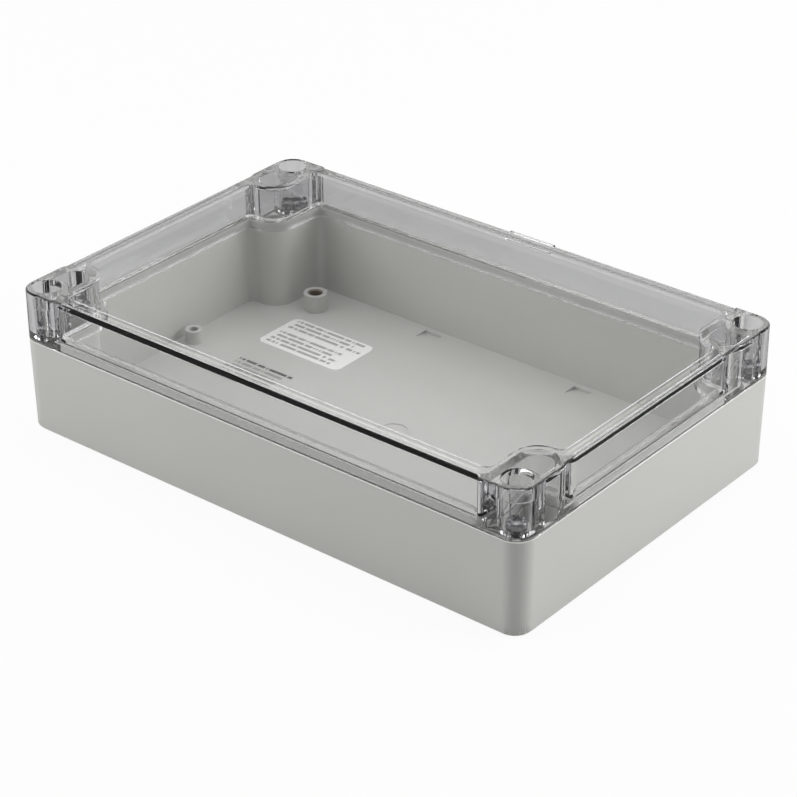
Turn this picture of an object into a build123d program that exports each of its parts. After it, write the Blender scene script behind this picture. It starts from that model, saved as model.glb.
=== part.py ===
"""Clear-lidded polycarbonate enclosure: grey base, clear lid, seal, label, inserts and captive lid screws.

Millimetres. Origin at the middle of the underside, +X along the long side, +Z up.
"""
import os

from build123d import *

# Distance below which a point counts as lying on a side
TOUCHING = 0.001

# Outline of the closed box
LENGTH = 222.0
WIDTH = 146.0
BASE_HEIGHT = 36.0
LID_HEIGHT = 19.0
CORNER_RADIUS = 7.5

# Base moulding
WALL = 3.4
FLOOR = 3.0
BASE_DRAFT = 1.0
FOOT_CHAMFER = 0.8
RIM_CHAMFER = 0.5
INNER_CORNER_FILLET = 3.0
TONGUE_THICKNESS = 1.4
TONGUE_HEIGHT = 2.2

# Lid moulding
PLATE = 3.0
LIP_HEIGHT = 3.2
SIDE_STEP = 0.8
LID_EDGE_CHAMFER = 0.5
FLANGE_REACH = 2.6
FLANGE_ROOF = 1.2
PANEL_INSET = 6.0
PANEL_DEPTH = 1.2
PANEL_FROM_LOBE = 0.5
TAB_LENGTH = 20.0
TAB_OFFSET = 6.5
TAB_HEIGHT = 2.4
TAB_ROOT = 1.7

# Wall-mounting wells, one beside each lid screw
WELL_RADIUS = 5.5
WELL_SIDE_WALL = 3.0
LOBE_WALL = 3.2
WELL_FROM_LONG_SIDE = 19.8
WELL_FLOOR = 5.0
MOUNT_HOLE_RADIUS = 2.3

# Lid screws, their captive washers and six-sided threaded inserts
SCREW_INSET = 7.5
BORE_MOUTH_RADIUS = 5.3
BORE_MOUTH_DEPTH = 6.0
BORE_RADIUS = 4.6
COLUMN_WEB = 2.4
SCREW_SHANK_RADIUS = 1.95
SCREW_HEAD_RADIUS = 3.5
SCREW_HEAD_HEIGHT = 2.6
SCREW_LENGTH = 18.0
DRIVE_WIDTH = 0.9
DRIVE_SPAN = 4.0
DRIVE_DEPTH = 1.4
WEB_HOLE_CLEARANCE = 0.3
RECESS_RADIUS = 3.4
RECESS_DEPTH = 9.0
WASHER_RADIUS = 3.0
WASHER_THICKNESS = 1.2
WASHER_LIFT = 0.3
WASHER_FIT = 0.05
INSERT_HALF_FLATS = 2.9
INSERT_LENGTH = 8.0
INSERT_FIT = 0.05
INSERT_SEAT_FIT = 0.02
INSERT_GROOVE_DEPTH = 0.3
INSERT_GROOVE_WIDTH = 1.2
TIP_ROOM = 2.5

# Seal in the lid's groove
GASKET_THICKNESS = 1.0
GASKET_BUTT_GAP = 0.4
GROOVE_CLEARANCE = 0.2
GASKET_CLEARANCE = 0.1

# Circuit-board bosses on the floor, four of them with brass inserts
BOSS_RADIUS = 4.6
BOSS_HEIGHT = 7.0
BOSS_HOLE_RADIUS = 3.0
BOSS_HOLE_DEPTH = 6.0
BOSS_FROM_SHORT_SIDE = 27.5
BOSS_FROM_LONG_SIDE = 18.4
BOARD_INSERT_HALF_FLATS = 2.55
BOARD_INSERT_SINK = 0.4
BOARD_INSERT_BORE_RADIUS = 2.1
SIDE_BOSS_RADIUS = 3.25
SIDE_BOSS_HEIGHT = 5.2
SIDE_BOSS_HOLE_RADIUS = 1.7
SIDE_BOSS_HOLE_DEPTH = 4.5
SIDE_BOSS_FROM_SHORT_SIDE = 9.0
SIDE_BOSS_OFFSET = 5.5

# Moulding marks on the floor and the blank label
MARK_LENGTH = 8.0
MARK_WIDTH = 6.5
MARK_DEPTH = 1.2
MARK_HALF_SPACING = 35.0
MARK_FROM_WALL = 2.4
GATE_RADIUS = 5.5
GATE_DEPTH = 0.3
LABEL_LENGTH = 39.5
LABEL_WIDTH = 23.0
LABEL_THICKNESS = 0.15
LABEL_CORNER = 3.0
LABEL_FROM_SHORT_SIDE = 46.9
LABEL_FROM_LONG_SIDE = 40.65

# Heights and places worked out from the sizes above
TOTAL_HEIGHT = BASE_HEIGHT + LID_HEIGHT
GROOVE_TOP = BASE_HEIGHT + TONGUE_HEIGHT + GASKET_THICKNESS
FLANGE_TOP = GROOVE_TOP + FLANGE_ROOF
CEILING = TOTAL_HEIGHT - PLATE
HEAD_SEAT = BASE_HEIGHT + COLUMN_WEB
INSERT_TOP = BASE_HEIGHT - RECESS_DEPTH
INSERT_BOTTOM = INSERT_TOP - INSERT_LENGTH
SCREW_TIP = HEAD_SEAT - SCREW_LENGTH
WELL_X = LENGTH / 2 - WELL_SIDE_WALL - WELL_RADIUS
WELL_Y = WIDTH / 2 - WELL_FROM_LONG_SIDE
LOBE_RADIUS = WELL_RADIUS + LOBE_WALL
SCREW_X = LENGTH / 2 - SCREW_INSET
SCREW_Y = WIDTH / 2 - SCREW_INSET
BOSS_X = LENGTH / 2 - BOSS_FROM_SHORT_SIDE
BOSS_Y = WIDTH / 2 - BOSS_FROM_LONG_SIDE
BOSS_TOP = FLOOR + BOSS_HEIGHT
CORNERS = {
    "front_left": (-1, -1),
    "front_right": (1, -1),
    "back_left": (-1, 1),
    "back_right": (1, 1),
}


def block(low, high):
    """Axis-aligned box between two opposite corners."""
    size = [high[i] - low[i] for i in range(3)]
    return Pos(*low) * Box(*size, align=(Align.MIN, Align.MIN, Align.MIN))


def rod(x, y, radius, bottom, top):
    """Upright cylinder between two heights."""
    return Pos(x, y, bottom) * Cylinder(radius, top - bottom, align=(Align.CENTER, Align.CENTER, Align.MIN))


def hex_bar(x, y, half_flats, bottom, top):
    """Upright six-sided bar between two heights, sized by half its width across flats."""
    plan = Pos(x, y) * RegularPolygon(half_flats, 6, major_radius=False)
    return prism(plan, bottom, top)


def prism(sketch, bottom, top):
    """Straight prism of a plan outline between two heights."""
    return extrude(Pos(0, 0, bottom) * sketch, amount=top - bottom, dir=(0, 0, 1))


def outline(inset=0.0):
    """Rounded rectangle of the closed box, moved in by an inset."""
    return RectangleRounded(LENGTH - 2 * inset, WIDTH - 2 * inset, CORNER_RADIUS - inset)


def lobe(sx, sy, grow=0.0):
    """Plan of one corner lobe: a round end over the well, run out past the corner."""
    radius = LOBE_RADIUS + grow
    reach_x = LENGTH / 2 - WELL_X + radius
    reach_y = WIDTH / 2 - WELL_Y
    slab = Pos(WELL_X - radius, WELL_Y) * Rectangle(reach_x, reach_y, align=(Align.MIN, Align.MIN))
    plan = slab + Pos(WELL_X, WELL_Y) * Circle(radius)
    if sx < 0:
        plan = mirror(plan, Plane.YZ)
    if sy < 0:
        plan = mirror(plan, Plane.XZ)
    return plan


def inner_plan(inset, lobe_grow=0.0):
    """The box's plan moved in by an inset, less the four corner lobes, with its corners filleted."""
    plan = Rectangle(LENGTH - 2 * inset, WIDTH - 2 * inset)
    for sx, sy in CORNERS.values():
        plan -= lobe(sx, sy, lobe_grow)
    on_side = []
    for vertex in plan.vertices():
        to_side = min(LENGTH / 2 - inset - abs(vertex.X), WIDTH / 2 - inset - abs(vertex.Y))
        if to_side < TOUCHING:
            on_side.append(vertex)
    return fillet(on_side, INNER_CORNER_FILLET)


CAVITY = inner_plan(WALL)


def cavity(grow=0.0):
    """The sealed space's plan, grown outwards or drawn in."""
    if grow == 0.0:
        return CAVITY
    return offset(CAVITY, amount=grow, kind=Kind.ARC)


def make_base():
    """Grey tray with drafted sides, sealing tongue, corner lobes, wells and floor bosses."""
    top_plane = Pos(0, 0, BASE_HEIGHT) * outline()
    body = extrude(top_plane, amount=BASE_HEIGHT, dir=(0, 0, -1), taper=BASE_DRAFT)
    body = chamfer(body.faces().sort_by(Axis.Z)[0].edges(), FOOT_CHAMFER)
    body = chamfer(body.faces().sort_by(Axis.Z)[-1].edges(), RIM_CHAMFER)
    body -= prism(cavity(), FLOOR, BASE_HEIGHT)
    body += prism(cavity(TONGUE_THICKNESS) - cavity(), BASE_HEIGHT, BASE_HEIGHT + TONGUE_HEIGHT)
    for sx, sy in CORNERS.values():
        body -= corner_holes(sx, sy)
        body += floor_boss(sx, sy)
    for sx in (-1, 1):
        body += side_boss(sx)
        for sy in (-1, 1):
            body -= floor_mark(sx, sy)
    return body - rod(0, 0, GATE_RADIUS, FLOOR - GATE_DEPTH, FLOOR)


def corner_holes(sx, sy):
    """Mounting well with its screw hole, and the lid screw's recess and insert hole."""
    x, y = sx * WELL_X, sy * WELL_Y
    holes = rod(x, y, WELL_RADIUS, WELL_FLOOR, BASE_HEIGHT)
    holes += rod(x, y, MOUNT_HOLE_RADIUS, 0, WELL_FLOOR)
    screw_x, screw_y = sx * SCREW_X, sy * SCREW_Y
    holes += rod(screw_x, screw_y, RECESS_RADIUS, INSERT_TOP, BASE_HEIGHT)
    hole_bottom = min(INSERT_BOTTOM, SCREW_TIP - TIP_ROOM)
    hole_half_flats = INSERT_HALF_FLATS + INSERT_SEAT_FIT
    return holes + hex_bar(screw_x, screw_y, hole_half_flats, hole_bottom, INSERT_TOP)


def floor_boss(sx, sy):
    """Round circuit-board boss with a blind hole for its insert."""
    x, y = sx * BOSS_X, sy * BOSS_Y
    hole = rod(x, y, BOSS_HOLE_RADIUS, BOSS_TOP - BOSS_HOLE_DEPTH, BOSS_TOP)
    return rod(x, y, BOSS_RADIUS, FLOOR, BOSS_TOP) - hole


def side_boss(sx):
    """Low boss near the middle of a short wall, with a blind screw hole."""
    x, y = sx * (LENGTH / 2 - SIDE_BOSS_FROM_SHORT_SIDE), SIDE_BOSS_OFFSET
    top = FLOOR + SIDE_BOSS_HEIGHT
    hole = rod(x, y, SIDE_BOSS_HOLE_RADIUS, top - SIDE_BOSS_HOLE_DEPTH, top)
    return rod(x, y, SIDE_BOSS_RADIUS, FLOOR, top) - hole


def floor_mark(sx, sy):
    """Ramped pad sunk in the floor, deepest on the side of the long wall."""
    outer = WIDTH / 2 - WALL - MARK_FROM_WALL
    corners = [(outer - MARK_WIDTH, FLOOR), (outer, FLOOR), (outer, FLOOR - MARK_DEPTH)]
    ramp = make_face(Polyline([(sy * y, z) for y, z in corners], close=True))
    start = Plane.YZ.offset(sx * MARK_HALF_SPACING - MARK_LENGTH / 2)
    return extrude(start * ramp, amount=MARK_LENGTH, dir=(1, 0, 0))


def make_lid():
    """Clear lid: full-size lip and corners, stepped-in sides, flange with seal groove, screw columns."""
    towers = outline() & sum((lobe(*corner) for corner in CORNERS.values()), Sketch())
    body = prism(outline(SIDE_STEP) + towers, BASE_HEIGHT, TOTAL_HEIGHT)
    body = chamfer(body.faces().sort_by(Axis.Z)[-1].edges(), LID_EDGE_CHAMFER)
    body += prism(outline(), BASE_HEIGHT, BASE_HEIGHT + LIP_HEIGHT)
    body += lid_tab()
    body -= prism(cavity(-FLANGE_REACH), BASE_HEIGHT, FLANGE_TOP)
    body -= prism(cavity(), FLANGE_TOP, CEILING)
    groove = cavity(TONGUE_THICKNESS + GROOVE_CLEARANCE) - cavity(-GROOVE_CLEARANCE)
    body -= prism(groove, BASE_HEIGHT, GROOVE_TOP)
    panel = inner_plan(PANEL_INSET, PANEL_FROM_LOBE)
    body -= prism(panel, TOTAL_HEIGHT - PANEL_DEPTH, TOTAL_HEIGHT)
    for sx, sy in CORNERS.values():
        body -= lid_pocket(sx, sy)
        body -= screw_bore(sx, sy)
    return body


def lid_tab():
    """Grip tab on the back edge, out to the line of the base."""
    half = TAB_LENGTH / 2
    low = (TAB_OFFSET - half, WIDTH / 2 - SIDE_STEP - TAB_ROOT, TOTAL_HEIGHT - TAB_HEIGHT)
    return block(low, (TAB_OFFSET + half, WIDTH / 2, TOTAL_HEIGHT))


def lid_pocket(sx, sy):
    """Hollow over the mounting well, between the lobe's wall and the screw column."""
    column = Pos(sx * SCREW_X, sy * SCREW_Y) * Circle(SCREW_INSET)
    reach = Pos(sx * WELL_X, sy * (WELL_Y + SCREW_Y) / 2) * Rectangle(2 * WELL_RADIUS, SCREW_Y - WELL_Y)
    plan = Pos(sx * WELL_X, sy * WELL_Y) * Circle(WELL_RADIUS) + reach - column
    return prism(plan, BASE_HEIGHT, CEILING)


def screw_bore(sx, sy):
    """Stepped bore down a corner column, with the screw's hole through its web."""
    x, y = sx * SCREW_X, sy * SCREW_Y
    bore = rod(x, y, BORE_MOUTH_RADIUS, TOTAL_HEIGHT - BORE_MOUTH_DEPTH, TOTAL_HEIGHT)
    bore += rod(x, y, BORE_RADIUS, HEAD_SEAT, TOTAL_HEIGHT)
    return bore + rod(x, y, SCREW_SHANK_RADIUS + WEB_HOLE_CLEARANCE, BASE_HEIGHT, HEAD_SEAT)


def make_gasket():
    """Flat seal between the lid's groove and the base's tongue, butt-jointed at the back."""
    fit = GROOVE_CLEARANCE - GASKET_CLEARANCE
    ring = cavity(TONGUE_THICKNESS + fit) - cavity(-fit)
    bottom = BASE_HEIGHT + TONGUE_HEIGHT
    seal = prism(ring, bottom, GROOVE_TOP)
    half = GASKET_BUTT_GAP / 2
    low = (TAB_OFFSET - half, 0, bottom)
    return seal - block(low, (TAB_OFFSET + half, WIDTH / 2, GROOVE_TOP))


def make_label():
    """Blank rounded label stuck to the floor."""
    place = Pos(LABEL_FROM_SHORT_SIDE - LENGTH / 2, WIDTH / 2 - LABEL_FROM_LONG_SIDE)
    plan = place * RectangleRounded(LABEL_LENGTH, LABEL_WIDTH, LABEL_CORNER)
    return prism(plan, FLOOR, FLOOR + LABEL_THICKNESS)


def make_screw(sx, sy):
    """Cheese-head lid screw with a crossed drive recess."""
    x, y = sx * SCREW_X, sy * SCREW_Y
    head_top = HEAD_SEAT + SCREW_HEAD_HEIGHT
    head = rod(x, y, SCREW_HEAD_RADIUS, HEAD_SEAT, head_top)
    for span_x, span_y in ((DRIVE_SPAN, DRIVE_WIDTH), (DRIVE_WIDTH, DRIVE_SPAN)):
        low = (x - span_x / 2, y - span_y / 2, head_top - DRIVE_DEPTH)
        head -= block(low, (x + span_x / 2, y + span_y / 2, head_top))
    return head + rod(x, y, SCREW_SHANK_RADIUS, SCREW_TIP, HEAD_SEAT)


def make_washer(sx, sy):
    """Captive washer that keeps a loosened screw in the lid."""
    x, y = sx * SCREW_X, sy * SCREW_Y
    bottom = INSERT_TOP + WASHER_LIFT
    ring = rod(x, y, WASHER_RADIUS, bottom, bottom + WASHER_THICKNESS)
    return ring - rod(x, y, SCREW_SHANK_RADIUS + WASHER_FIT, bottom, bottom + WASHER_THICKNESS)


def make_insert(sx, sy):
    """Six-sided brass insert with a waist groove, set in the base's corner lobe."""
    x, y = sx * SCREW_X, sy * SCREW_Y
    half = INSERT_GROOVE_WIDTH / 2
    low = (INSERT_BOTTOM + INSERT_TOP) / 2 - half
    high = low + INSERT_GROOVE_WIDTH
    body = hex_bar(x, y, INSERT_HALF_FLATS, INSERT_BOTTOM, low)
    body += hex_bar(x, y, INSERT_HALF_FLATS - INSERT_GROOVE_DEPTH, low, high)
    body += hex_bar(x, y, INSERT_HALF_FLATS, high, INSERT_TOP)
    return body - rod(x, y, SCREW_SHANK_RADIUS + INSERT_FIT, INSERT_BOTTOM, INSERT_TOP)


def make_board_insert(sx, sy):
    """Six-sided brass insert that a board screw threads into, sunk in a floor boss."""
    x, y = sx * BOSS_X, sy * BOSS_Y
    bottom = BOSS_TOP - BOSS_HOLE_DEPTH
    top = BOSS_TOP - BOARD_INSERT_SINK
    body = hex_bar(x, y, BOARD_INSERT_HALF_FLATS, bottom, top)
    return body - rod(x, y, BOARD_INSERT_BORE_RADIUS, bottom, top)


def main():
    """Write every piece to its own file."""
    os.makedirs("parts", exist_ok=True)
    pieces = {"base": make_base(), "lid": make_lid(), "lid_gasket": make_gasket(), "label": make_label()}
    for corner, (sx, sy) in CORNERS.items():
        pieces["lid_screw_" + corner] = make_screw(sx, sy)
        pieces["captive_washer_" + corner] = make_washer(sx, sy)
        pieces["threaded_insert_" + corner] = make_insert(sx, sy)
        pieces["board_insert_" + corner] = make_board_insert(sx, sy)
    for name, piece in pieces.items():
        export_step(piece, "parts/" + name + ".step")


main()
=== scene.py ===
"""Looks of the clear-lidded enclosure: materials, rounded edges, threaded screws, studio light and camera."""
import math

import bmesh
import bpy
from mathutils import Matrix, Vector


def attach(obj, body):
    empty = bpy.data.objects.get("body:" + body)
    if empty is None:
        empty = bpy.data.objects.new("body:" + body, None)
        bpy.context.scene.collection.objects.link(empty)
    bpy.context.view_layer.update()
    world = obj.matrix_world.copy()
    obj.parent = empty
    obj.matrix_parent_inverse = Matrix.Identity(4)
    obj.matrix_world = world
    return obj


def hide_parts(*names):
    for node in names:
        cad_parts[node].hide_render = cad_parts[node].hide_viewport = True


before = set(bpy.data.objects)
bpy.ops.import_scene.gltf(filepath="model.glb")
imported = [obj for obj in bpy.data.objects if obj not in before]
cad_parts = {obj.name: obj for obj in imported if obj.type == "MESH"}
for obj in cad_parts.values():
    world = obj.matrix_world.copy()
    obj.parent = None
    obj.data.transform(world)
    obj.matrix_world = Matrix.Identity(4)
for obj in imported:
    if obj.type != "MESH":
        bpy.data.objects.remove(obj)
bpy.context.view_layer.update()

# Camera: where the photograph was taken from, in metres, degrees and the photograph's pixels
FRAME_PIXELS = 797
FOCAL_PIXELS = 2617.2
SENSOR_MM = 36.0
CAMERA_TARGET = Vector((0.0100, -0.0091, 0.0250))
CAMERA_DISTANCE = 0.9109
CAMERA_AZIMUTH = 39.351
CAMERA_ELEVATION = 29.420
CAMERA_ROLL = -0.300

# Studio: floor, softboxes and surroundings, in metres, degrees and watts
FLOOR_SIZE = 6.0
FLOOR_DROP = 0.0001
FLOOR_ALBEDO = (0.60, 0.60, 0.595, 1.0)
# The floor's glow: its share for the eye and in glass, and its level in mirror images and through glass
FLOOR_GLOW = 0.93
GLASS_SHARE = 0.85
LEVEL_REFLECTED = 0.12
LEVEL_THROUGH_GLASS = 0.68
# The floor's paper fibre: cells to the metre, strength and depth
FIBRE_CELLS = 300.0
FIBRE_STRENGTH = 0.05
FIBRE_DEPTH = 0.0001
# Softboxes: name, turn from the camera's line, elevation, width and watts
SOFTBOX_DISTANCE = 1.1
SOFTBOXES = (
    ("left_box", -90.0, 20.0, 0.8, 8.2),
    ("right_box", 90.0, 20.0, 0.8, 10.4),
    ("left_back_box", -130.0, 25.0, 0.8, 3.0),
    ("right_back_box", 130.0, 25.0, 0.8, 4.5),
    ("top_box", 0.0, 90.0, 1.6, 13.5),
)
# Boxes that mirror rays see; the images of the others would white out the lid from some sides
MIRRORED_BOXES = ("top_box",)
# The room's level as light, in mirror images and through glass
ROOM_LIGHT = 0.02
ROOM_REFLECTED = 0.15
ROOM_THROUGH_GLASS = 0.06
WHITE = (1.0, 1.0, 1.0, 1.0)

# Plastics: dark and light colour, least and most roughness, grain cells to the metre and the grain's depth
GREY_PLASTIC = ((0.530, 0.530, 0.510, 1.0), (0.555, 0.555, 0.535, 1.0), (0.28, 0.38), 2600.0, 0.00003)
SEAL_RUBBER = ((0.60, 0.60, 0.59, 1.0), (0.68, 0.68, 0.66, 1.0), (0.42, 0.55), 1500.0, 0.00004)
LABEL_FILM = ((0.86, 0.86, 0.84, 1.0), (0.92, 0.92, 0.90, 1.0), (0.38, 0.50), 1800.0, 0.00001)
NYLON = ((0.74, 0.72, 0.66, 1.0), (0.80, 0.78, 0.72, 1.0), (0.40, 0.55), 1500.0, 0.00002)
MOTTLE_CELLS = 22.0
SHEEN_CELLS = 140.0
GRAIN_STRENGTH = 0.35
PLASTIC_IOR = 1.58
INK = (0.07, 0.07, 0.068, 1.0)

# Clear plastic: its colour on walls, darkened as painted shade, and on level faces, the tint of its
# thickness, haze and flow waves
CLEAR_WALL_PAINTED_SHADE = (0.80, 0.80, 0.805, 1.0)
CLEAR_LEVEL = (0.97, 0.97, 0.972, 1.0)
CLEAR_TINT = (0.68, 0.68, 0.71, 1.0)
CLEAR_TINT_DENSITY = 30.0
CLEAR_IOR = 1.585
HAZE_CELLS = 60.0
HAZE_ROUGHNESS = 0.02
WAVE_CELLS = 34.0
WAVE_STRENGTH = 0.02
WAVE_DEPTH = 0.0004

# Metals: dark and light colour, least and most roughness; and their tool marks
STEEL = ((0.24, 0.24, 0.25, 1.0), (0.36, 0.36, 0.37, 1.0), (0.20, 0.34))
BRASS = ((0.24, 0.18, 0.10, 1.0), (0.38, 0.29, 0.17, 1.0), (0.26, 0.40))
RING_CELLS = 900.0
RING_SQUEEZE = (1.0, 1.0, 6.0)
RING_STRENGTH = 0.25
RING_DEPTH = 0.00004
SMEAR_CELLS = 700.0

# Rounded edges, in metres and radians, and where the base's floor and the lid's plate meet their walls
WELD_DISTANCE = 0.000002
FLAT_ANGLE = math.radians(0.5)
CREASE_ANGLE = math.radians(32.0)
EDGE_TOLERANCE = 0.00005
FILLET_SEGMENTS = 6
ROUND_SEGMENTS = 3
FLOOR_HEIGHT = 0.003
FLOOR_FILLET = 0.002
LOBE_START = (0.093, 0.040)
NEAR_WALL = (0.107, 0.069)
LID_TOP = 0.055
LID_PLATE_UNDERSIDE = 0.052
LID_FILLET = 0.0013
LID_INNER_SHARE = 0.8
LID_OUTSIDE = (0.1095, 0.0715)
COLUMN_OUTSIDE = 0.0066
LID_ROUND = 0.00032
BASE_ROUND = 0.0003
SMALL_ROUND = 0.0001

# Lid screws, in metres: place, heights, thread and the head's profile above its seat
SCREW_PLACE = (0.1035, 0.0655)
SCREW_SEAT = 0.0384
SCREW_TIP = 0.0204
THREAD_PITCH = 0.0007
THREAD_CREST = 0.00194
THREAD_ROOT = 0.00158
THREAD_FOOT = 0.97 * THREAD_ROOT
THREAD_HALF_WIDTH = 0.00026
THREAD_STEPS = 24
THREAD_ENDS = 0.0006
TIP_TAPER = 0.0007
TIP_RADIUS = 0.6 * THREAD_ROOT
HEAD_PROFILE = (
    (0.0, 0.0), (0.0033, 0.0), (0.0035, 0.0002), (0.0035, 0.0013), (0.0034, 0.0017),
    (0.0030, 0.0021), (0.0023, 0.0024), (0.0014, 0.00256), (0.0, 0.0026),
)
HEAD_STEPS = 48
DRIVE_SPAN = 0.0040
DRIVE_WIDTH = 0.0009
DRIVE_DEPTH = 0.0014
DRIVE_OVERCUT = 0.2 * DRIVE_DEPTH
DRIVE_TAPER = 0.55

# Small print as rows of plain dashes, in metres; a block is its left, top, length, rows and ink strength
ROW_PITCH = 0.0027
ROW_SHARE = 0.55
ROW_SHORTEST = 0.82
ROW_SHUFFLE = 71.0
WORD_CELL = 0.0007
WORD_SPACES = 0.16
LABEL_ROWS = ((-0.0815, 0.0427, 0.036, 3, 0.60), (-0.0815, 0.0325, 0.033, 4, 0.60))
FLOOR_ROWS = ((-0.0795, 0.0072, 0.028, 1, 0.95), (-0.0795, 0.0045, 0.025, 4, 0.50))
FLOOR_BAND = (0.0025, 0.0035)

CORNERS = {"front_left": (-1, -1), "front_right": (1, -1), "back_left": (-1, 1), "back_right": (1, 1)}


def direction(azimuth, elevation):
    """Unit vector from the object towards a place round it; azimuth 0 is the front, in degrees."""
    a, e = math.radians(azimuth), math.radians(elevation)
    return Vector((math.sin(a) * math.cos(e), -math.cos(a) * math.cos(e), math.sin(e)))


class Tree:
    """Adds and wires nodes. An input is a plain value, or (node, output) for a link."""

    def __init__(self, owner):
        if isinstance(owner, bpy.types.NodeTree):
            self.tree = owner
        else:
            owner.use_nodes = True
            self.tree = owner.node_tree
        self.tree.nodes.clear()

    def add(self, kind, inputs=None, **settings):
        """One node with its settings and inputs."""
        prefix = "ShaderNode" if hasattr(bpy.types, "ShaderNode" + kind) else ""
        node = self.tree.nodes.new(prefix + kind)
        for name, value in settings.items():
            setattr(node, name, value)
        for socket, value in (inputs or {}).items():
            if isinstance(value, tuple) and isinstance(value[0], bpy.types.Node):
                self.tree.links.new(value[0].outputs[value[1]], node.inputs[socket])
            else:
                node.inputs[socket].default_value = value
        return node

    def math(self, operation, first, second=0.0):
        """Sum, product or other arithmetic of two values."""
        return self.add("Math", {0: first, 1: second}, operation=operation), "Value"

    def spread(self, value, low, high):
        """A 0 to 1 value spread between two numbers."""
        return self.add("MapRange", {"Value": value, "To Min": low, "To Max": high}), "Result"

    def noise(self, vector, scale, detail=2.0, roughness=0.5):
        """Noise of so many cells to the metre."""
        inputs = {"Vector": vector, "Scale": scale, "Detail": detail, "Roughness": roughness}
        return self.add("TexNoise", inputs), "Fac"

    def blend(self, factor, first, second):
        """A colour between two colours."""
        node = self.add("Mix", {"Factor": factor, 6: first, 7: second}, data_type="RGBA")
        return node, 2

    def bump(self, height, strength, depth):
        """Normals roughened by a height, with its depth in metres."""
        return self.add("Bump", {"Height": height, "Strength": strength, "Distance": depth}), "Normal"


def new_material(name):
    """An empty node material and its tree."""
    material = bpy.data.materials.new(name)
    return material, Tree(material)


def dash_rows(tree, place, left, top, length, rows):
    """Rows of plain dashes that stand for small print, as a 0 to 1 value."""
    across = tree.math("SUBTRACT", (place, "X"), left)
    down = tree.math("SUBTRACT", top, (place, "Y"))
    steps = tree.math("DIVIDE", down, ROW_PITCH)
    row = tree.math("FLOOR", steps)
    in_row = tree.math("LESS_THAN", tree.math("FRACT", steps), ROW_SHARE)
    in_block = tree.math("COMPARE", row, (rows - 1) / 2)
    in_block[0].inputs[2].default_value = rows / 2
    ragged = tree.add("TexWhiteNoise", {"W": row}, noise_dimensions="1D")
    end = tree.spread((ragged, "Value"), ROW_SHORTEST * length, length)
    begun, unended = tree.math("GREATER_THAN", across, 0.0), tree.math("LESS_THAN", across, end)
    in_line = tree.math("MULTIPLY", begun, unended)
    cell = tree.math("FLOOR", tree.math("DIVIDE", across, WORD_CELL))
    cell = tree.math("ADD", cell, tree.math("MULTIPLY", row, ROW_SHUFFLE))
    words = tree.add("TexWhiteNoise", {"W": cell}, noise_dimensions="1D")
    word = tree.math("GREATER_THAN", (words, "Value"), WORD_SPACES)
    in_print = tree.math("MULTIPLY", in_row, in_block)
    return tree.math("MULTIPLY", in_print, tree.math("MULTIPLY", in_line, word))


def print_blocks(tree, parts, blocks):
    """Two blocks of dashes, each with its own strength of ink."""
    first, second = (
        tree.math("MULTIPLY", dash_rows(tree, parts, left, top, length, rows), strength)
        for left, top, length, rows, strength in blocks
    )
    return tree.math("MAXIMUM", first, second)


def label_print(tree, place):
    """Print on the label."""
    parts = tree.add("SeparateXYZ", {0: place})
    return print_blocks(tree, parts, LABEL_ROWS)


def floor_print(tree, place):
    """Print on the inside of the base's floor."""
    parts = tree.add("SeparateXYZ", {0: place})
    above = tree.math("GREATER_THAN", (parts, "Z"), FLOOR_BAND[0])
    below = tree.math("LESS_THAN", (parts, "Z"), FLOOR_BAND[1])
    on_floor = tree.math("MULTIPLY", above, below)
    return tree.math("MULTIPLY", print_blocks(tree, parts, FLOOR_ROWS), on_floor)


def moulded_plastic(name, dark, light, roughness, grain, grain_depth, ink=None):
    """Satin moulded plastic: faint mottling, uneven gloss and a fine eroded grain, and print if any."""
    material, tree = new_material(name)
    place = (tree.add("TexCoord"), "Object")
    mottle = tree.noise(place, MOTTLE_CELLS, detail=3.0)
    sheen = tree.noise(place, SHEEN_CELLS)
    skin = tree.noise(place, grain, detail=4.0, roughness=0.65)
    colour = tree.blend(mottle, dark, light)
    if ink:
        colour = tree.blend(ink(tree, place), colour, INK)
    surface = tree.add("BsdfPrincipled", {
        "Base Color": colour,
        "Roughness": tree.spread(sheen, *roughness),
        "IOR": PLASTIC_IOR,
        "Normal": tree.bump(skin, GRAIN_STRENGTH, grain_depth),
    })
    tree.add("OutputMaterial", {"Surface": (surface, "BSDF")})
    return material


def clear_plastic(name):
    """Polished clear polycarbonate with flow waves, a tint in thick places and walls darkened as painted
    shade.
    """
    material, tree = new_material(name)
    place = (tree.add("TexCoord"), "Object")
    haze = tree.noise(place, HAZE_CELLS, detail=3.0)
    waves = tree.noise(place, WAVE_CELLS, detail=1.0)
    facing = tree.add("SeparateXYZ", {0: (tree.add("TexCoord"), "Normal")})
    # Painted shade: upright faces get the darker wall colour and level faces the clearer one
    level = tree.math("ABSOLUTE", (facing, "Z"))
    surface = tree.add("BsdfPrincipled", {
        "Base Color": tree.blend(level, CLEAR_WALL_PAINTED_SHADE, CLEAR_LEVEL),
        "Roughness": tree.spread(haze, 0.0, HAZE_ROUGHNESS),
        "IOR": CLEAR_IOR,
        "Transmission Weight": 1.0,
        "Normal": tree.bump(waves, WAVE_STRENGTH, WAVE_DEPTH),
    })
    tint = tree.add("VolumeAbsorption", {"Color": CLEAR_TINT, "Density": CLEAR_TINT_DENSITY})
    tree.add("OutputMaterial", {"Surface": (surface, "BSDF"), "Volume": (tint, "Volume")})
    return material


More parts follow.
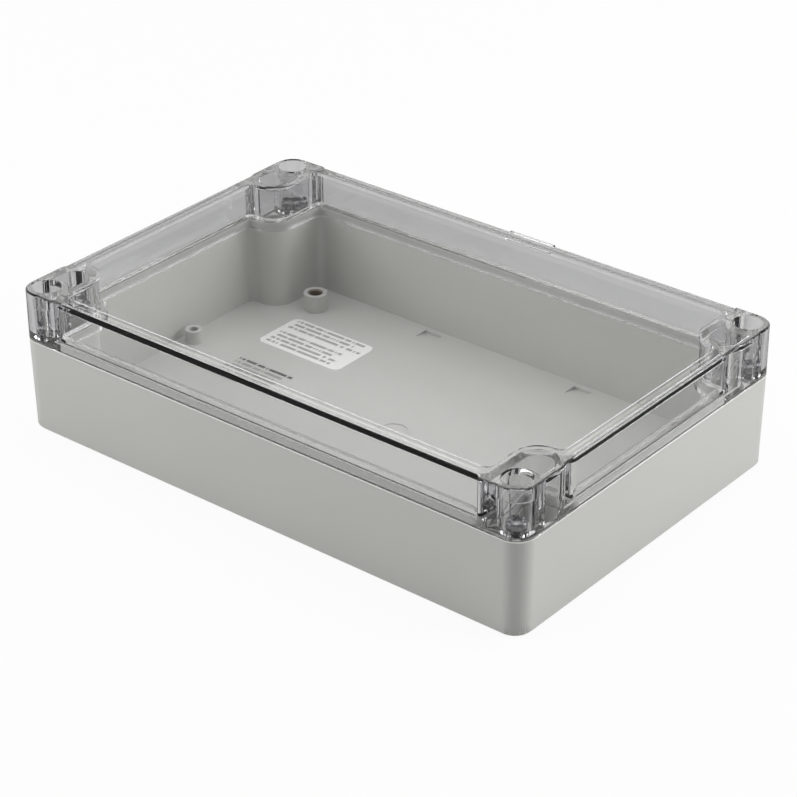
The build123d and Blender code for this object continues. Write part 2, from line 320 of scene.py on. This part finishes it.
def worked_metal(name, dark, light, roughness):
    """Turned metal: level tool marks and uneven polish."""
    material, tree = new_material(name)
    place = (tree.add("TexCoord"), "Object")
    squeezed = (tree.add("Mapping", {"Vector": place, "Scale": RING_SQUEEZE}), "Vector")
    rings = tree.noise(squeezed, RING_CELLS)
    smears = tree.noise(place, SMEAR_CELLS, detail=3.0)
    surface = tree.add("BsdfPrincipled", {
        "Base Color": tree.blend(smears, dark, light),
        "Metallic": 1.0,
        "Roughness": tree.spread(smears, *roughness),
        "Normal": tree.bump(rings, RING_STRENGTH, RING_DEPTH),
    })
    tree.add("OutputMaterial", {"Surface": (surface, "BSDF")})
    return material


def add_camera():
    """The photograph's camera."""
    back = direction(CAMERA_AZIMUTH, CAMERA_ELEVATION)
    right = direction(CAMERA_AZIMUTH + 90.0, 0.0)
    up = back.cross(right)
    roll = math.radians(CAMERA_ROLL)
    across = math.cos(roll) * right + math.sin(roll) * up
    upright = math.cos(roll) * up - math.sin(roll) * right
    data = bpy.data.cameras.new("photo_camera")
    data.sensor_width = SENSOR_MM
    data.lens = FOCAL_PIXELS / FRAME_PIXELS * SENSOR_MM
    camera = bpy.data.objects.new("photo_camera", data)
    matrix = Matrix((across, upright, back)).transposed().to_4x4()
    matrix.translation = CAMERA_TARGET + CAMERA_DISTANCE * back
    camera.matrix_world = matrix
    bpy.context.scene.collection.objects.link(camera)
    bpy.context.scene.camera = camera


def add_softbox(name, place, width, power):
    """A square lamp that looks at the object."""
    data = bpy.data.lights.new(name, "AREA")
    data.shape = "SQUARE"
    data.size = width
    data.energy = power
    lamp = bpy.data.objects.new(name, data)
    lamp.location = place
    lamp.visible_glossy = name in MIRRORED_BOXES
    lamp.rotation_euler = place.to_track_quat("Z", "Y").to_euler()
    bpy.context.scene.collection.objects.link(lamp)


def add_lights():
    """Softboxes beside the object, behind it on both sides and overhead."""
    for name, turn, elevation, width, power in SOFTBOXES:
        place = SOFTBOX_DISTANCE * direction(CAMERA_AZIMUTH + turn, elevation)
        add_softbox(name, place, width, power)


def add_world():
    """Dim room round a white backdrop; the room draws the dark lines in the clear edges."""
    world = bpy.data.worlds.new("dim_room")
    bpy.context.scene.world = world
    tree = Tree(world)
    path = tree.add("LightPath")
    seen = tree.math("MAXIMUM", (path, "Is Glossy Ray"), (path, "Is Transmission Ray"))
    level = tree.spread((path, "Is Transmission Ray"), ROOM_REFLECTED, ROOM_THROUGH_GLASS)
    level = tree.math("MAXIMUM", tree.math("MULTIPLY", seen, level), (path, "Is Camera Ray"))
    level = tree.math("MAXIMUM", level, ROOM_LIGHT)
    room = tree.add("Background", {"Color": WHITE, "Strength": level})
    tree.add("OutputWorld", {"Surface": (room, "Background")})


def add_floor():
    """Pale floor that stays white to the eye and pale in glass and metal, and keeps the shadow."""
    material, tree = new_material("white_sweep")
    path = tree.add("LightPath")
    place = (tree.add("TexCoord"), "Object")
    fibre = tree.bump(tree.noise(place, FIBRE_CELLS, detail=3.0), FIBRE_STRENGTH, FIBRE_DEPTH)
    paper = tree.add("BsdfDiffuse", {"Color": FLOOR_ALBEDO, "Normal": fibre})
    level = tree.spread((path, "Is Transmission Ray"), LEVEL_REFLECTED, LEVEL_THROUGH_GLASS)
    level = tree.math("MAXIMUM", (path, "Is Camera Ray"), level)
    glow = tree.add("Emission", {"Color": WHITE, "Strength": level})
    seen = tree.math("MAXIMUM", (path, "Is Glossy Ray"), (path, "Is Transmission Ray"))
    in_glass = tree.math("MULTIPLY", seen, GLASS_SHARE)
    share = tree.math("MULTIPLY", (path, "Is Camera Ray"), FLOOR_GLOW)
    share = tree.math("MAXIMUM", share, in_glass)
    mixed = tree.add("MixShader", {0: share, 1: (paper, "BSDF"), 2: (glow, "Emission")})
    tree.add("OutputMaterial", {"Surface": (mixed, "Shader")})
    bpy.ops.mesh.primitive_plane_add(size=FLOOR_SIZE, location=(0.0, 0.0, -FLOOR_DROP))
    floor = bpy.context.object
    floor.name = "floor"
    floor.data.materials.append(material)


def modifier_group(name):
    """An empty node group for a modifier, its tree and its input node."""
    group = bpy.data.node_groups.new(name, "GeometryNodeTree")
    for side in ("INPUT", "OUTPUT"):
        group.interface.new_socket("Geometry", in_out=side, socket_type="NodeSocketGeometry")
    tree = Tree(group)
    return group, tree, tree.add("NodeGroupInput")


def smooth_group():
    """Node group for a modifier: smooth faces with creases where they turn sharply."""
    group, tree, start = modifier_group("smooth_below_angle")
    plain = tree.add("GeometryNodeRemoveAttribute", {"Geometry": (start, 0), "Name": "custom_normal"})
    faces = tree.add("GeometryNodeSetShadeSmooth", {"Geometry": (plain, 0)}, domain="FACE")
    turn = (tree.add("GeometryNodeInputMeshEdgeAngle"), "Unsigned Angle")
    gentle = tree.math("LESS_THAN", turn, CREASE_ANGLE)
    smoothed = {"Geometry": (faces, 0), "Shade Smooth": gentle}
    edges = tree.add("GeometryNodeSetShadeSmooth", smoothed, domain="EDGE")
    tree.add("NodeGroupOutput", {0: (edges, 0)})
    return group


def at_height(tree, parts, height):
    """1 where an edge lies at a height, else 0."""
    level = tree.math("COMPARE", (parts, 2), height)
    level[0].inputs[2].default_value = EDGE_TOLERANCE
    return level


def base_marks(tree, parts, along, across):
    """Edges where the base's floor meets its walls and lobes."""
    in_corner = tree.math("MULTIPLY", tree.math("GREATER_THAN", along, LOBE_START[0]),
                          tree.math("GREATER_THAN", across, LOBE_START[1]))
    at_wall = tree.math("MAXIMUM", tree.math("GREATER_THAN", along, NEAR_WALL[0]),
                        tree.math("GREATER_THAN", across, NEAR_WALL[1]))
    outer = tree.math("MAXIMUM", in_corner, at_wall)
    return tree.math("MULTIPLY", at_height(tree, parts, FLOOR_HEIGHT), outer)


def lid_marks(tree, parts, along, across):
    """Edges round the lid's top, and where the plate's underside meets the walls."""
    at_side = tree.math("MAXIMUM", tree.math("GREATER_THAN", along, LID_OUTSIDE[0]),
                        tree.math("GREATER_THAN", across, LID_OUTSIDE[1]))
    past_x = tree.math("MAXIMUM", tree.math("SUBTRACT", along, SCREW_PLACE[0]), 0.0)
    past_y = tree.math("MAXIMUM", tree.math("SUBTRACT", across, SCREW_PLACE[1]), 0.0)
    squares = tree.math("MULTIPLY", past_x, past_x), tree.math("MULTIPLY", past_y, past_y)
    reach = tree.math("SQRT", tree.math("ADD", *squares))
    outside = tree.math("MAXIMUM", at_side, tree.math("GREATER_THAN", reach, COLUMN_OUTSIDE))
    rim = tree.math("MULTIPLY", at_height(tree, parts, LID_TOP), outside)
    inner = tree.math("MULTIPLY", at_height(tree, parts, LID_PLATE_UNDERSIDE), LID_INNER_SHARE)
    return tree.math("MAXIMUM", rim, inner)


def marks_group(name, marks):
    """Node group for a modifier: marks the edges that get a fillet."""
    group, tree, start = modifier_group(name)
    place = (tree.add("GeometryNodeInputPosition"), 0)
    parts = tree.add("ShaderNodeSeparateXYZ", {0: place})
    marked = marks(tree, parts, tree.math("ABSOLUTE", (parts, 0)), tree.math("ABSOLUTE", (parts, 1)))
    store = tree.add("GeometryNodeStoreNamedAttribute", {
        "Geometry": (start, 0), "Name": "bevel_weight_edge", "Value": marked,
    }, data_type="FLOAT", domain="EDGE")
    tree.add("NodeGroupOutput", {0: (store, 0)})
    return group


def round_edges(node, width, smooth, marks=None, fillet_width=0.0):
    """Rounds a CAD node's edges with modifiers, without touching its mesh."""
    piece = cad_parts[node]
    weld = piece.modifiers.new("weld", "WELD")
    weld.merge_threshold = WELD_DISTANCE
    flat = piece.modifiers.new("flat", "DECIMATE")
    flat.decimate_type = "DISSOLVE"
    flat.angle_limit = FLAT_ANGLE
    piece.modifiers.new("smooth", "NODES").node_group = smooth
    if marks:
        piece.modifiers.new("marks", "NODES").node_group = marks
        fillet = piece.modifiers.new("fillet", "BEVEL")
        fillet.limit_method = "WEIGHT"
        fillet.width = fillet_width
        fillet.segments = FILLET_SEGMENTS
        fillet.harden_normals = True
    bevel = piece.modifiers.new("round", "BEVEL")
    bevel.limit_method = "ANGLE"
    bevel.angle_limit = CREASE_ANGLE
    bevel.width = width
    bevel.segments = ROUND_SEGMENTS
    bevel.harden_normals = True
    flat_shading = piece.modifiers.new("flat_shading", "WEIGHTED_NORMAL")
    flat_shading.mode = "FACE_AREA"
    flat_shading.keep_sharp = True


def lathe(bm, profile, steps, lift=0.0):
    """Adds a turned solid whose profile lists (radius, height) from axis to axis."""
    rings = []
    for radius, height in profile:
        count = steps if radius else 1
        turns = [2.0 * math.pi * k / steps for k in range(count)]
        ring = [(radius * math.cos(a), radius * math.sin(a), lift + height) for a in turns]
        rings.append([bm.verts.new(point) for point in ring])
    for lower, upper in zip(rings, rings[1:]):
        for k in range(steps):
            n = (k + 1) % steps
            below = [lower[k % len(lower)], lower[n % len(lower)]]
            above = [upper[n % len(upper)], upper[k % len(upper)]]
            bm.faces.new(list(dict.fromkeys(below + above)))


def thread(bm):
    """Adds the screw's helical ridge, run out at both ends."""
    low, high = SCREW_TIP + TIP_TAPER, SCREW_SEAT - THREAD_HALF_WIDTH
    count = int((high - low) / THREAD_PITCH * THREAD_STEPS)
    last = None
    for k in range(count + 1):
        angle = 2.0 * math.pi * k / THREAD_STEPS
        height = low + k * THREAD_PITCH / THREAD_STEPS
        grown = min(1.0, (height - low) / THREAD_ENDS, (high - height) / THREAD_ENDS)
        crest = THREAD_ROOT + max(0.0, grown) * (THREAD_CREST - THREAD_ROOT)
        section = ((THREAD_FOOT, -THREAD_HALF_WIDTH), (crest, 0.0), (THREAD_FOOT, THREAD_HALF_WIDTH))
        ridge = [bm.verts.new((r * math.cos(angle), r * math.sin(angle), height + z)) for r, z in section]
        if last:
            for i in range(2):
                bm.faces.new((last[i], ridge[i], ridge[i + 1], last[i + 1]))
        last = ridge


def screw_head():
    """Domed head with a tapered crossed recess."""
    meshes = []
    for name in ("head", "drive"):
        bm = bmesh.new()
        if name == "head":
            lathe(bm, HEAD_PROFILE, HEAD_STEPS, SCREW_SEAT)
        else:
            top = SCREW_SEAT + HEAD_PROFILE[-1][1]
            for turn in (0.0, math.pi / 2.0):
                cross_arm(bm, top, turn)
        bmesh.ops.recalc_face_normals(bm, faces=bm.faces)
        mesh = bpy.data.meshes.new(name)
        bm.to_mesh(mesh)
        bm.free()
        meshes.append(bpy.data.objects.new(name, mesh))
        bpy.context.scene.collection.objects.link(meshes[-1])
    head, drive = meshes
    cut = head.modifiers.new("cut", "BOOLEAN")
    cut.object = drive
    cut.solver = "EXACT"
    cut.use_self = True
    shape = bpy.data.meshes.new_from_object(head.evaluated_get(bpy.context.evaluated_depsgraph_get()))
    for tool in meshes:
        bpy.data.objects.remove(tool)
    return shape


def cross_arm(bm, top, turn):
    """Adds one arm of the crossed recess, a wedge that narrows downwards."""
    rings = []
    for height, share in ((top - DRIVE_DEPTH, DRIVE_TAPER), (top + DRIVE_OVERCUT, 1.0)):
        ring = []
        for sx, sy in ((-1, -1), (1, -1), (1, 1), (-1, 1)):
            x, y = sx * share * DRIVE_SPAN / 2.0, sy * DRIVE_WIDTH / 2.0
            ring.append(bm.verts.new((
                x * math.cos(turn) - y * math.sin(turn), x * math.sin(turn) + y * math.cos(turn), height,
            )))
        rings.append(ring)
    bm.faces.new(rings[0])
    bm.faces.new(rings[1])
    for k in range(4):
        bm.faces.new((rings[0][k], rings[0][k - 1], rings[1][k - 1], rings[1][k]))


def screw_mesh():
    """Threaded screw about its own axis, at its height in the lid."""
    bm = bmesh.new()
    core = ((0.0, SCREW_TIP), (TIP_RADIUS, SCREW_TIP), (THREAD_ROOT, SCREW_TIP + TIP_TAPER),
            (THREAD_ROOT, SCREW_SEAT), (0.0, SCREW_SEAT))
    lathe(bm, core, HEAD_STEPS)
    thread(bm)
    bmesh.ops.recalc_face_normals(bm, faces=bm.faces)
    bm.from_mesh(screw_head())
    for face in bm.faces:
        face.smooth = True
    for edge in bm.edges:
        edge.smooth = edge.calc_face_angle(0.0) < CREASE_ANGLE
    mesh = bpy.data.meshes.new("threaded_screw")
    bm.to_mesh(mesh)
    bm.free()
    return mesh


def add_screw(corner, material):
    """Puts a threaded screw in the place of a plain one."""
    sx, sy = CORNERS[corner]
    mesh = bpy.data.meshes.get("threaded_screw") or screw_mesh()
    if not mesh.materials:
        mesh.materials.append(material)
    screw = bpy.data.objects.new("threaded_screw_" + corner, mesh)
    screw.location = (sx * SCREW_PLACE[0], sy * SCREW_PLACE[1], 0.0)
    bpy.context.scene.collection.objects.link(screw)
    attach(screw, "screw_" + corner)
    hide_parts("lid_screw_" + corner)


def dress(node, material):
    """Gives a CAD node its finish."""
    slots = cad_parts[node].data.materials
    slots.clear()
    slots.append(material)


def dress_nodes():
    """Finishes of the CAD pieces."""
    dress("base", moulded_plastic("grey_polycarbonate", *GREY_PLASTIC, floor_print))
    dress("lid", clear_plastic("clear_polycarbonate"))
    dress("lid_gasket", moulded_plastic("silicone_seal", *SEAL_RUBBER))
    dress("label", moulded_plastic("label_film", *LABEL_FILM, label_print))
    nylon = moulded_plastic("nylon", *NYLON)
    steel = worked_metal("screw_steel", *STEEL)
    brass = worked_metal("brass", *BRASS)
    for corner in CORNERS:
        dress("lid_screw_" + corner, steel)
        add_screw(corner, steel)
        dress("captive_washer_" + corner, nylon)
        dress("threaded_insert_" + corner, brass)
        dress("board_insert_" + corner, brass)
    # The clear lid casts no shadow, and bounced light passes it
    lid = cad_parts["lid"]
    lid.visible_shadow = False
    lid.visible_diffuse = False


def round_nodes():
    """Moulded and turned edges of the CAD pieces."""
    smooth = smooth_group()
    round_edges("base", BASE_ROUND, smooth, marks_group("mark_base_edges", base_marks), FLOOR_FILLET)
    round_edges("lid", LID_ROUND, smooth, marks_group("mark_lid_edges", lid_marks), LID_FILLET)
    round_edges("lid_gasket", SMALL_ROUND, smooth)
    for corner in CORNERS:
        for piece in ("captive_washer_", "threaded_insert_", "board_insert_"):
            round_edges(piece + corner, SMALL_ROUND, smooth)


bpy.context.scene.view_settings.view_transform = "Standard"
add_camera()
add_lights()
add_world()
add_floor()
dress_nodes()
round_nodes()
